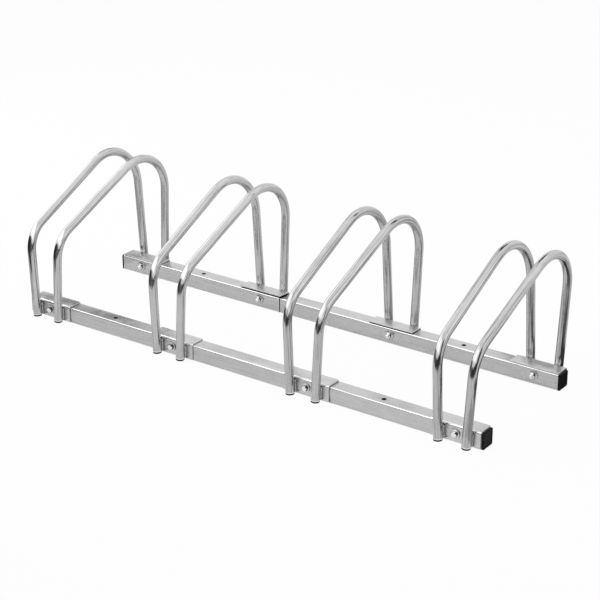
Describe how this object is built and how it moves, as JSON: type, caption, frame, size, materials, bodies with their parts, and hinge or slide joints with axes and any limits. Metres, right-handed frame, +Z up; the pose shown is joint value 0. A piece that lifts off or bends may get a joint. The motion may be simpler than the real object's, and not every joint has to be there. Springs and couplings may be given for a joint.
{
  "type": "bike parking stand",
  "caption": "Floor rack that parks bicycles by the front wheel, with pairs of flared bent-tube hoops bolted to two parallel square-tube rails.",
  "frame": {"origin": "centre of the bounding box's footprint, on the floor under the rails", "axes": "+X along the rails to the right seen from the front, +Y from the front rail to the rear rail, +Z up"},
  "size_m": [0.988, 0.331, 0.2683],
  "materials": {
    "zinc_rail": "zinc-plated square tube, satin, fine lengthwise drawing lines",
    "zinc_plate": "zinc-plated bent sheet, satin with a brighter bend",
    "zinc_tube": "zinc-plated round tube, smooth and fairly bright",
    "zinc_fastener": "bright zinc-plated bolts, nuts and washers",
    "black_plastic": "moulded black plastic, satin"
  },
  "bodies": {
    "root": {"front_rail_long": "zinc_rail", "front_rail_short": "zinc_rail", "front_rail_splice": "zinc_rail", "front_bracket_1": "zinc_plate", "front_bolt_1": "zinc_fastener", "front_nut_1": "zinc_fastener", "front_bracket_2": "zinc_plate", "front_bolt_2": "zinc_fastener", "front_nut_2": "zinc_fastener", "front_bracket_3": "zinc_plate", "front_bolt_3": "zinc_fastener", "front_nut_3": "zinc_fastener", "front_bracket_4": "zinc_plate", "front_bolt_4": "zinc_fastener", "front_nut_4": "zinc_fastener", "front_end_cap_left": "black_plastic", "front_end_cap_right": "black_plastic", "rear_rail_long": "zinc_rail", "rear_rail_short": "zinc_rail", "rear_rail_splice": "zinc_rail", "rear_bracket_1": "zinc_plate", "rear_bolt_1": "zinc_fastener", "rear_nut_1": "zinc_fastener", "rear_bracket_2": "zinc_plate", "rear_bolt_2": "zinc_fastener", "rear_nut_2": "zinc_fastener", "rear_bracket_3": "zinc_plate", "rear_bolt_3": "zinc_fastener", "rear_nut_3": "zinc_fastener", "rear_bracket_4": "zinc_plate", "rear_bolt_4": "zinc_fastener", "rear_nut_4": "zinc_fastener", "rear_end_cap_left": "black_plastic", "rear_end_cap_right": "black_plastic", "hoop_1_left": "zinc_tube", "leg_cap_1_left_front": "black_plastic", "leg_cap_1_left_rear": "black_plastic", "hoop_1_right": "zinc_tube", "leg_cap_1_right_front": "black_plastic", "leg_cap_1_right_rear": "black_plastic", "hoop_2_left": "zinc_tube", "leg_cap_2_left_front": "black_plastic", "leg_cap_2_left_rear": "black_plastic", "hoop_2_right": "zinc_tube", "leg_cap_2_right_front": "black_plastic", "leg_cap_2_right_rear": "black_plastic", "hoop_3_left": "zinc_tube", "leg_cap_3_left_front": "black_plastic", "leg_cap_3_left_rear": "black_plastic", "hoop_3_right": "zinc_tube", "leg_cap_3_right_front": "black_plastic", "leg_cap_3_right_rear": "black_plastic", "hoop_4_left": "zinc_tube", "leg_cap_4_left_front": "black_plastic", "leg_cap_4_left_rear": "black_plastic", "hoop_4_right": "zinc_tube", "leg_cap_4_right_front": "black_plastic", "leg_cap_4_right_rear": "black_plastic"}
  },
  "joints": []
}
